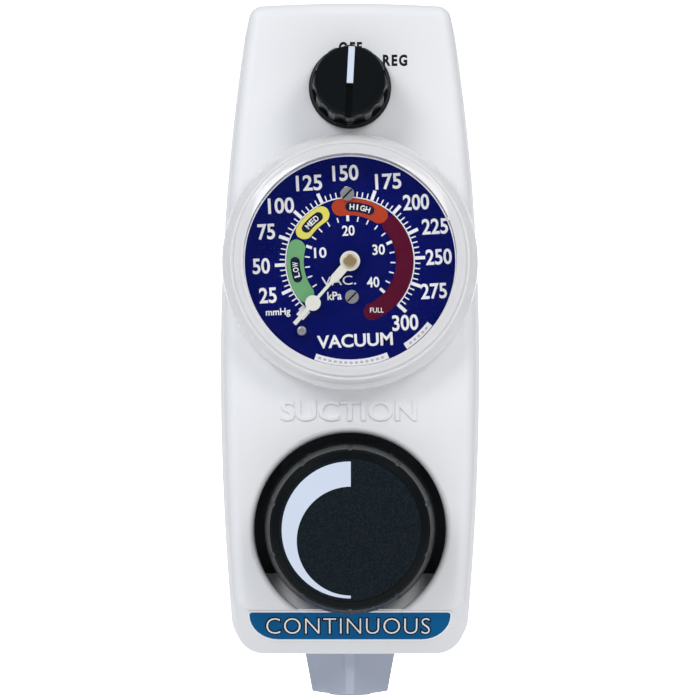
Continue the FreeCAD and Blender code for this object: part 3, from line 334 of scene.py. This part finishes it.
def rubber(name, colour, rough=0.7):
    """Matt rubber with a trace of dust."""
    s = Shader(name, rough=rough, Specular_IOR_Level=0.2)
    dust = s.noise(per_mm=0.8, detail=6.0)
    s.colour(s.ramp(dust, [(0.35, colour), (0.8, shade(colour, 0.8))]))
    s.roughness(dust, rough * 0.85, min(1.0, rough * 1.2))
    s.bump(dust, depth_mm=0.01)
    return s.material


def clear_plastic(name):
    """Clear moulding, slightly wavy and hazy, with a faint glow in place of gathered light."""
    s = Shader(name, rough=0.08, IOR=1.45, Transmission_Weight=0.55,
               Emission_Color=(0.98, 0.97, 1.0, 1.0), Emission_Strength=0.075)
    haze = s.noise(per_mm=0.15, detail=4.0)
    s.colour(s.ramp(haze, [(0.3, (0.97, 0.97, 0.98)), (0.7, (1.0, 1.0, 1.0))]))
    s.roughness(haze, 0.02, 0.07)
    s.bump(s.noise(per_mm=0.12), depth_mm=0.15, strength=0.5)
    return s.material


MATERIALS = {
    "cover_white": moulded("cover_white", (0.875, 0.885, 0.91), 0.42, grain_mm=0.5, depth_mm=0.008,
                           variation=0.012, Specular_IOR_Level=0.3),
    "aluminium": metal("aluminium", (0.66, 0.67, 0.69), 0.38, squeeze=(0.15, 1, 3)),
    "steel": metal("steel", (0.55, 0.55, 0.56), 0.3, squeeze=(1, 4, 1)),
    "label_blue": moulded("label_blue", (0.001, 0.11, 0.30), 0.4, variation=0.12,
                          Specular_IOR_Level=0.08),
    "brass": metal("brass", (0.66, 0.50, 0.27), 0.3, squeeze=(1, 4, 1)),
    "nickelled_brass": metal("nickelled_brass", (0.72, 0.69, 0.63), 0.25),
    "seal_rubber": rubber("seal_rubber", (0.012, 0.012, 0.013)),
    "sintered_bronze": metal("sintered_bronze", (0.42, 0.29, 0.16), 0.7, depth_mm=0.1, per_mm=4.0),
    "outlet_grey": moulded("outlet_grey", (0.46, 0.50, 0.61), 0.4, variation=0.03),
    "case_white": moulded("case_white", (0.74, 0.75, 0.78), 0.35, variation=0.015),
    "lens_clear": clear_plastic("lens_clear"),
    "dial_blue": moulded("dial_blue", (0.0010, 0.0036, 0.118), 0.6, variation=0.08, depth_mm=0.002,
                         Specular_IOR_Level=0.02),
    "hand_ivory": moulded("hand_ivory", (0.90, 0.89, 0.82), 0.4, variation=0.02, depth_mm=0.003),
    "knob_black": moulded("knob_black", (0.0025, 0.0045, 0.0055), 0.3, depth_mm=0.0012, variation=0.2,
                          Specular_IOR_Level=0.22, IOR=1.35),
    "knob_matte": speckled("knob_matte", (0.0035, 0.007, 0.010), (0.012, 0.019, 0.026), 0.6),
    "inlay_white": moulded("inlay_white", (0.66, 0.74, 0.88), 0.45, variation=0.02),
    "diaphragm_rubber": rubber("diaphragm_rubber", (0.03, 0.03, 0.03)),
    "spring_steel": metal("spring_steel", (0.5, 0.5, 0.52), 0.3),
}

# Painted shade: the metal parts seen through the gap round the knob are coloured near black, standing
# in for the deep shade in that gap
GAP_SHADE_NODES = ("manifold_block", "regulator_bonnet", "back_plate")
GAP_SHADE_METAL = metal("gap_shade_metal", (0.13, 0.14, 0.15), 0.45, squeeze=(0.15, 1, 3))


def ink(name, colour):
    """Screen print, also used for the painted shade in the screw slots: slightly uneven and nearly
    matt.
    """
    return moulded(name, colour, 0.5, grain_mm=0.2, depth_mm=0.002, variation=0.05,
                   Specular_IOR_Level=0.08)


def window_plastic():
    """Thin clear window that lets the dial show at full strength."""
    s = Shader("window_clear", rough=0.04, IOR=1.3, Alpha=0.04)
    haze = s.noise(per_mm=0.2, detail=4.0)
    s.colour(s.ramp(haze, [(0.3, (0.02, 0.03, 0.05)), (0.7, (0.05, 0.06, 0.08))]))
    s.roughness(haze, 0.03, 0.08)
    return s.material


INKS = {
    "white": ink("ink_white", (0.96, 0.96, 0.97)),
    "black": ink("ink_and_slot_shade_black", (0.012, 0.012, 0.016)),
    "grey": ink("ink_grey", (0.55, 0.57, 0.66)),
    "pill": ink("ink_navy", (0.008, 0.010, 0.045)),
    "low": ink("ink_green", (0.18, 0.45, 0.20)),
    "medium": ink("ink_yellow", (0.85, 0.78, 0.14)),
    "high": ink("ink_orange", (0.50, 0.055, 0.018)),
    "full": ink("ink_maroon", (0.105, 0.001, 0.022)),
    "window": window_plastic(),
}


def dress_cad_nodes():
    """Every CAD node takes the material of its slot, except the metal behind the knob gap, which is
    coloured near black as painted shade.
    """
    for part in frame["record"]["subparts"]:
        mesh = NODES[part["node"]].data
        mesh.materials.clear()
        look = GAP_SHADE_METAL if part["node"] in GAP_SHADE_NODES else MATERIALS[part["material_slot"]]
        mesh.materials.append(look)


# ---- drawing on faces ----

def clock_point(radius, degrees, centre=(0.0, 0.0)):
    a = math.radians(degrees)
    return centre[0] + radius * math.sin(a), centre[1] + radius * math.cos(a)


class Face:
    """A flat face to draw on: u right, v up and w out of it, in millimetres from its origin."""

    def __init__(self, origin, slope=0.0):
        a = math.radians(slope)
        self.origin = Vector(origin)
        self.up = Vector((0, -math.sin(a), math.cos(a)))
        self.out = Vector((0, -math.cos(a), -math.sin(a)))

    def place(self, u, v, w):
        return self.origin + (Vector((u, 0, 0)) + self.up * v + self.out * w) * MM


def front_of(node):
    """Face at the front of a node, with its origin on the gauge's axis."""
    return Face((0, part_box(node)[0][1], 0))


def word_mesh(text, bold, spacing, bevel):
    """Letters of the built-in font, as a mesh."""
    curve = bpy.data.curves.new("word", "FONT")
    curve.body = text
    curve.extrude = LETTER_EXTRUDE
    curve.offset = bold
    curve.space_character = spacing
    curve.bevel_depth = bevel
    curve.resolution_u = FONT_STEPS
    letters = bpy.data.objects.new("word", curve)
    bpy.context.scene.collection.objects.link(letters)
    mesh = bpy.data.meshes.new_from_object(letters)
    bpy.data.objects.remove(letters)
    return mesh


class Drawing:
    """Thin raised shapes on a face, gathered into one piece."""

    def __init__(self, face):
        self.face = face
        self.mesh = bmesh.new()

    def ribbon(self, pairs, low, high, closed=False):
        """Strip through pairs of inner and outer points, from height low to height high."""
        rows = []
        for inner, outer in pairs:
            corners = ((inner, low), (outer, low), (outer, high), (inner, high))
            rows.append([self.mesh.verts.new(self.face.place(*point, w)) for point, w in corners])
        following = rows[1:] + rows[:1] if closed else rows[1:]
        for a, b in zip(rows, following):
            for k in range(4):
                self.mesh.faces.new((a[k], a[(k + 1) % 4], b[(k + 1) % 4], b[k]))
        if not closed:
            self.mesh.faces.new(rows[0])
            self.mesh.faces.new(rows[-1])
        return self

    def arc(self, radius, half, start, end, low, high, round_ends=False):
        """Strip along an arc between two clock angles."""
        tip = math.degrees(half / radius) if round_ends else 0.0
        places = [(start + tip, half), (end - tip, half)]
        count = max(2, int((end - start) / ARC_STEP))
        run = end - start - 2 * tip
        places[1:1] = [(start + tip + run * k / count, half) for k in range(1, count)]
        if round_ends:
            bends = [math.pi / 2 * k / END_STEPS for k in range(1, END_STEPS)]
            head = [(start + tip * (1 - math.cos(a)), half * math.sin(a)) for a in bends]
            tail = [(end - tip * (1 - math.cos(a)), half * math.sin(a)) for a in reversed(bends)]
            places = head + places + tail
        pairs = [(clock_point(radius - h, d), clock_point(radius + h, d)) for d, h in places]
        return self.ribbon(pairs, low, high)

    def circle(self, inner, outer, low, high):
        turns = [360 * k / RING_STEPS for k in range(RING_STEPS)]
        pairs = [(clock_point(inner, d), clock_point(outer, d)) for d in turns]
        return self.ribbon(pairs, low, high, closed=True)

    def tick(self, inner, outer, width, degrees, low, high):
        """Bar that points away from the middle."""
        side = Vector(clock_point(width / 2, degrees + 90))
        ends = [Vector(clock_point(r, degrees)) for r in (inner, outer)]
        return self.ribbon([(tuple(end - side), tuple(end + side)) for end in ends], low, high)

    def word(self, text, centre, height, width, low, high, turn=0.0, bold=0.0, spacing=1.0, bevel=0.0):
        """Word of an exact size about its centre; turn is clockwise."""
        mesh = word_mesh(text, bold, spacing, bevel)
        spans = []
        for axis in range(3):
            values = [v.co[axis] for v in mesh.vertices]
            spans.append((min(values), max(values)))
        a = math.radians(turn)
        for v in mesh.vertices:
            part = [(v.co[k] - spans[k][0]) / (spans[k][1] - spans[k][0]) for k in range(3)]
            x, y = (part[0] - 0.5) * width, (part[1] - 0.5) * height
            u = centre[0] + x * math.cos(a) + y * math.sin(a)
            w = low + part[2] * (high - low)
            v.co = self.face.place(u, centre[1] - x * math.sin(a) + y * math.cos(a), w)
        self.mesh.from_mesh(mesh)
        bpy.data.meshes.remove(mesh)
        return self

    def piece(self, name, material, slot, body="housing"):
        bmesh.ops.remove_doubles(self.mesh, verts=self.mesh.verts, dist=WELD)
        bmesh.ops.recalc_face_normals(self.mesh, faces=self.mesh.faces)
        return make_piece(name, self.mesh, material, body)


def make_piece(name, shape, material, body):
    """Object from a bmesh, riding on a body."""
    mesh = bpy.data.meshes.new(name)
    shape.to_mesh(mesh)
    shape.free()
    mesh.materials.append(material)
    made = bpy.data.objects.new(name, mesh)
    bpy.context.scene.collection.objects.link(made)
    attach(made, body)
    return made


# ---- gauge ----

def on_scale(mmhg):
    return ZERO_CLOCK + DEGREES_PER_MMHG * mmhg


def on_kpa_scale(kpa):
    return ZERO_CLOCK + DEGREES_PER_KPA * kpa


def dial_ticks(art):
    """Marks of the mmHg scale outside its arc, and of the kPa scale nearer the middle."""
    art.arc(SCALE_R, SCALE_LINE_HALF, ZERO_CLOCK, on_scale(SCALE_END), SUNK, INK)
    for value in range(0, SCALE_END + 1, TICK_STEP):
        length, width = MAJOR_TICK if value % NUMBER_STEP == 0 else MINOR_TICK
        if value == 0:
            length, width = ZERO_TICK
        art.tick(SCALE_R, SCALE_R + length, width, on_scale(value), SUNK, INK)
    for value in range(0, KPA_END + 1, KPA_TICK_STEP):
        length, width = KPA_MAJOR_TICK if value % KPA_NUMBER_STEP == 0 else KPA_MINOR_TICK
        art.tick(KPA_R, KPA_R + length, width, on_kpa_scale(value), SUNK, INK)


def dial_numbers(art):
    """Numbers of both scales."""
    for value in range(NUMBER_STEP, SCALE_END + 1, NUMBER_STEP):
        text = str(value)
        turn, out = NUMBER_NUDGE.get(value, (0, 0))
        place = clock_point(NUMBER_R + out, on_scale(value) + turn)
        width = DIGIT_WIDTH * len(text)
        art.word(text, place, NUMBER_HEIGHT, width, SUNK, INK, ART_TURN, bold=NUMBER_BOLD)
    for value in range(KPA_NUMBER_STEP, KPA_END + 1, KPA_NUMBER_STEP):
        place = clock_point(KPA_NUMBER_R, on_kpa_scale(value) + KPA_NUDGE.get(value, 0))
        art.word(str(value), place, KPA_NUMBER_HEIGHT, KPA_NUMBER_WIDTH, SUNK, INK, ART_TURN,
                 bold=KPA_NUMBER_BOLD)


def dial_scale(face):
    """White ticks, numbers, words and edge line of the dial."""
    art = Drawing(face)
    dial_ticks(art)
    dial_numbers(art)
    for text, place, height, width, bold in DIAL_WORDS:
        art.word(text, place, height, width, SUNK, INK, ART_TURN, bold=bold)
    art.circle(*EDGE_LINE, SUNK, INK)
    art.piece("dial_scale_print", INKS["white"], "inlay_white")


def dial_bands(face):
    """Coloured ranges, with a dark pill and a word on three of them."""
    for name, (start, end) in BANDS.items():
        top = INK if name == "full" else SECOND_INK
        band = Drawing(face).arc(BAND_R, BAND_HALF, on_scale(start), on_scale(end), SUNK, top, True)
        band.piece(f"dial_band_{name}", INKS[name], "dial_blue")
    pills, words = Drawing(face), Drawing(face)
    for text, value in BAND_WORDS.items():
        clock, reach = on_scale(value), PILL_REACH[len(text)]
        pills.arc(BAND_R, PILL_HALF, clock - reach, clock + reach, INK, THIRD_INK, True)
        for k, letter in enumerate(text):
            at = clock + (k - (len(text) - 1) / 2) * LETTER_STEP
            width = NARROW_LETTER_WIDTH if letter == "I" else LETTER_WIDTH
            words.word(letter, clock_point(BAND_R, at), LETTER_HEIGHT, width, INK, LETTER_INK, at,
                       bold=LETTER_BOLD)
    pills.piece("dial_word_pills", INKS["pill"], "dial_blue")
    words.word("FULL", FULL_PLACE, FULL_HEIGHT, FULL_WIDTH, SUNK, THIRD_INK, bold=FULL_BOLD)
    words.piece("dial_band_words", INKS["white"], "inlay_white")


def screw_slots():
    """Painted shade: dark strips in the slanted slots of the two dial screws."""
    low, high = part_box("dial_screws")
    left, bottom = low[0] / MM + SCREW_HEAD_R, low[2] / MM + SCREW_HEAD_R
    right, top = high[0] / MM - SCREW_HEAD_R, high[2] / MM - SCREW_HEAD_R
    side = Vector(clock_point(SLOT_HALF, SLOT_SLANT + 90))
    tip = Vector(clock_point(SCREW_HEAD_R * SLOT_REACH, SLOT_SLANT))
    art = Drawing(front_of("dial_screws"))
    for middle in (Vector((right, bottom)), Vector((left, top))):
        ends = (middle - tip, middle + tip)
        art.ribbon([(tuple(end - side), tuple(end + side)) for end in ends], SLOT_FLOOR, SLOT_TOP)
    art.piece("dial_screw_slot_shade", INKS["black"], "steel")


def dial_strips(face):
    """Two narrow printed strips at the lower edge, with plain grey dashes."""
    strips, dashes = Drawing(face), Drawing(face)
    for start, end in STRIPS:
        strips.arc(STRIP_R, STRIP_HALF, start, end, SUNK, INK)
        for k in range(int((end - start) / DASH_STEP) - 1):
            at = start + FIRST_DASH + DASH_STEP * k
            dashes.arc(STRIP_R, DASH_HALF, at, at + DASH_SPAN, SUNK, SECOND_INK)
    strips.piece("dial_strips", INKS["white"], "inlay_white")
    dashes.piece("dial_strip_dashes", INKS["grey"], "dial_blue")


def lathed(name, profile, material, body):
    """Ring or disc turned about the gauge's axis from (radius, y) corners in millimetres."""
    shape = bmesh.new()
    rows = []
    for k in range(LATHE_STEPS):
        row = []
        for radius, y in profile:
            x, z = clock_point(radius, 360 * k / LATHE_STEPS)
            row.append(shape.verts.new(Vector((x, y, z)) * MM))
        rows.append(row)
    for a, b in zip(rows, rows[1:] + rows[:1]):
        for k in range(len(profile)):
            n = (k + 1) % len(profile)
            shape.faces.new((a[k], a[n], b[n], b[k]))
    bmesh.ops.remove_doubles(shape, verts=shape.verts, dist=LATHE_WELD)
    bmesh.ops.recalc_face_normals(shape, faces=shape.faces)
    for face in shape.faces:
        face.smooth = True
    made = make_piece(name, shape, material, body)
    crease = made.modifiers.new("edges", "EDGE_SPLIT")
    crease.split_angle = math.radians(CREASE_DEGREES)
    return made


def rim_profile(window_r, outer, front, flange):
    """Section of the rim as (radius, y): lip, rolled front with shallow grooves, skirt, then inside."""
    lip_r, lip_y = window_r + RIM_LIP, front + RIM_LIP_DROP
    profile = [(window_r, front + WINDOW_THICK), (window_r, front), (lip_r, lip_y)]
    for k in range(1, ROLL_STEPS):
        a = math.pi / 2 * k / ROLL_STEPS
        groove = GROOVE_DEPTH if k in GROOVED_STEPS else 0.0
        y = lip_y + ROLL_DEPTH * (1 - math.cos(a)) + groove
        profile.append((lip_r + (outer - lip_r) * math.sin(a), y))
    recess, relief_r = flange - FLANGE_RECESS, window_r + CASE_RELIEF
    profile += [(outer, lip_y + ROLL_DEPTH), (outer, flange), (outer - SKIRT_THICK, flange)]
    profile += [(outer - SKIRT_THICK, recess), (relief_r, recess)]
    profile += [(relief_r, front + RIM_DEPTH), (window_r, front + RIM_DEPTH)]
    return profile


def lens():
    """Clear cover: a thick rolled rim with a thin flat window inside it."""
    low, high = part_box("gauge_lens")
    outer, front = high[0] / MM, low[1] / MM
    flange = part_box("gauge_gasket")[0][1] / MM
    window_r = outer - RIM_WIDTH
    profile = rim_profile(window_r, outer, front, flange)
    rim = lathed("gauge_lens_rim", profile, MATERIALS["lens_clear"], "housing")
    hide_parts("gauge_lens")
    back = front + WINDOW_THICK
    disc = [(0.0, front), (window_r, front), (window_r, back), (0.0, back)]
    lathed("gauge_lens_window", disc, INKS["window"], "housing")


# ---- printing on the cover ----

def cover_words():
    """Position names above the selector, printed in black."""
    art = Drawing(front_of("front_cover"))
    for text, place, width in POSITION_WORDS:
        art.word(text, place, POSITION_HEIGHT, width, SUNK, INK, bold=POSITION_BOLD,
                 spacing=POSITION_SPACING)
    art.piece("position_words", INKS["black"], "knob_black")


def embossed_word():
    """Plain word moulded into the cover between the gauge and the knob."""
    art = Drawing(front_of("front_cover"))
    art.word("SUCTION", EMBOSSED_PLACE, EMBOSSED_HEIGHT, EMBOSSED_WIDTH, SUNK, EMBOSSED_RISE,
             bevel=EMBOSSED_BEVEL)
    art.piece("embossed_word", MATERIALS["cover_white"], "cover_white")


def label_outline(half, height, outset):
    """Points round the label at a distance outside its edge, with wide lower corners."""
    points = []
    corners = ((half, -height, LABEL_LOW_CORNER, 90), (-half, -height, LABEL_LOW_CORNER, 180),
               (-half, 0.0, LABEL_TOP_CORNER, 270), (half, 0.0, LABEL_TOP_CORNER, 0))
    for x, z, radius, start in corners:
        centre = (math.copysign(half - radius, x), z + radius if z < 0 else z - radius)
        turns = [start + 90 * k / CORNER_STEPS for k in range(CORNER_STEPS + 1)]
        points += [clock_point(radius + outset, turn, centre) for turn in turns]
    return points


def mode_label_print():
    """Border and outlined capitals on the sloping label."""
    low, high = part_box("mode_label")
    tilt = math.radians(CHIN_SLOPE)
    face = Face((0, low[1], high[2] - LABEL_THICK * MM * math.sin(tilt)), CHIN_SLOPE)
    half = high[0] / MM
    height = (high[2] - low[2]) / MM / math.cos(tilt) - LABEL_THICK * math.tan(tilt)
    edge, rim = label_outline(half, height, 0.0), label_outline(half, height, LABEL_BORDER)
    border = Drawing(face).ribbon(list(zip(edge, rim)), -LABEL_THICK - SUNK, INK, closed=True)
    border.piece("label_border", INKS["white"], "inlay_white")
    middle = (LABEL_WORD_X, -height / 2)
    outline = Drawing(face).word(LABEL_WORD, middle, *OUTLINE_SIZE, SUNK, INK, bold=OUTLINE_BOLD,
                                 spacing=LABEL_SPACING)
    outline.piece("label_word_outline", INKS["black"], "knob_black")
    letters = Drawing(face).word(LABEL_WORD, middle, *LETTERS_SIZE, 0.0, SECOND_INK,
                                 bold=LETTERS_BOLD, spacing=LABEL_SPACING)
    letters.piece("label_word", INKS["white"], "inlay_white")


# ---- stage ----

def stage_object(name, verts, faces, material):
    mesh = bpy.data.meshes.new(name)
    mesh.from_pydata(verts, [], faces)
    mesh.polygons.foreach_set("use_smooth", [True] * len(faces))
    mesh.materials.append(material)
    made = bpy.data.objects.new(name, mesh)
    bpy.context.scene.collection.objects.link(made)
    return made


def glowing_white(name, rough, glow):
    """Faintly clouded white that gives off a little light."""
    s = Shader(name, rough=rough)
    cloud = s.noise(per_mm=0.002, detail=2.0)
    s.colour(s.ramp(cloud, [(0.3, (0.90, 0.90, 0.90)), (0.7, (0.94, 0.94, 0.94))]))
    s.bsdf.inputs["Emission Color"].default_value = (1, 1, 1, 1)
    s.bsdf.inputs["Emission Strength"].default_value = glow
    return s.material


def sweep_floor():
    """Pale floor that curves up into a backdrop behind the object."""
    floor_z, bend_y = CAD_BOX[0][2] - FLOOR_DROP, SWEEP_FAR - SWEEP_BEND
    profile = [(SWEEP_NEAR, floor_z), (bend_y, floor_z)]
    for k in range(1, BEND_STEPS + 1):
        a = math.pi / 2 * k / BEND_STEPS
        profile.append((bend_y + SWEEP_BEND * math.sin(a), floor_z + SWEEP_BEND * (1 - math.cos(a))))
    profile.append((SWEEP_FAR, floor_z + SWEEP_HEIGHT))
    verts = [(x, y, z) for x in (-SWEEP_HALF, SWEEP_HALF) for y, z in profile]
    n = len(profile)
    faces = [(k, k + 1, n + k + 1, n + k) for k in range(n - 1)]
    floor = stage_object("studio_sweep", verts, faces, glowing_white("studio_white", 0.9, FLOOR_GLOW))


def bright_backdrop():
    """Small lit screen straight behind the object, so that its outline stands against white."""
    signs = ((-1, -1), (1, -1), (1, 1), (-1, 1))
    corners = [(SCREEN_HALF * x, SCREEN_Y, SCREEN_HALF * z) for x, z in signs]
    white = glowing_white("screen_white", 1.0, SCREEN_GLOW)
    screen = stage_object("backdrop_screen", corners, [(0, 1, 2, 3)], white)


def softbox(name, place, power, colour):
    """Square light aimed at the middle of the object."""
    light = bpy.data.lights.new(name, "AREA")
    light.size = KEY_SIZE
    light.energy = power
    light.color = colour
    lamp = bpy.data.objects.new(name, light)
    lamp.location = place
    lamp.rotation_euler = (Vector(MIDDLE) - Vector(place)).to_track_quat("-Z", "Y").to_euler()
    bpy.context.scene.collection.objects.link(lamp)


def studio_lights():
    softbox("left_key", (-KEY_SIDE, KEY_AHEAD, KEY_UP), LEFT_POWER, (0.97, 0.98, 1.0))
    softbox("right_key", (KEY_SIDE, KEY_AHEAD, KEY_UP), RIGHT_POWER, (1.0, 0.985, 0.96))
    world = bpy.data.worlds.new("studio_air")
    world.use_nodes = True
    air = world.node_tree.nodes["Background"]
    air.inputs["Color"].default_value = (0.93, 0.96, 1.0, 1)
    air.inputs["Strength"].default_value = AIR_POWER
    bpy.context.scene.world = world


def add_camera():
    """Nearly square on, from a little below the middle of the object."""
    eye = Vector((0, SUBJECT_Y - CAMERA_DISTANCE, EYE_Z))
    aim = Vector((0, SUBJECT_Y, AIM_Z))
    data = bpy.data.cameras.new("camera")
    data.sensor_width = SENSOR
    data.lens = SENSOR * CAMERA_DISTANCE / VIEW_WIDTH
    camera = bpy.data.objects.new("camera", data)
    camera.location = eye
    camera.rotation_euler = (aim - eye).to_track_quat("-Z", "Y").to_euler()
    bpy.context.scene.collection.objects.link(camera)
    bpy.context.scene.camera = camera


def main():
    dress_cad_nodes()
    dial = front_of("gauge_dial")
    dial_scale(dial)
    dial_bands(dial)
    dial_strips(dial)
    screw_slots()
    lens()
    cover_words()
    embossed_word()
    mode_label_print()
    sweep_floor()
    bright_backdrop()
    studio_lights()
    add_camera()
    bpy.context.scene.view_settings.view_transform = "Standard"


main()
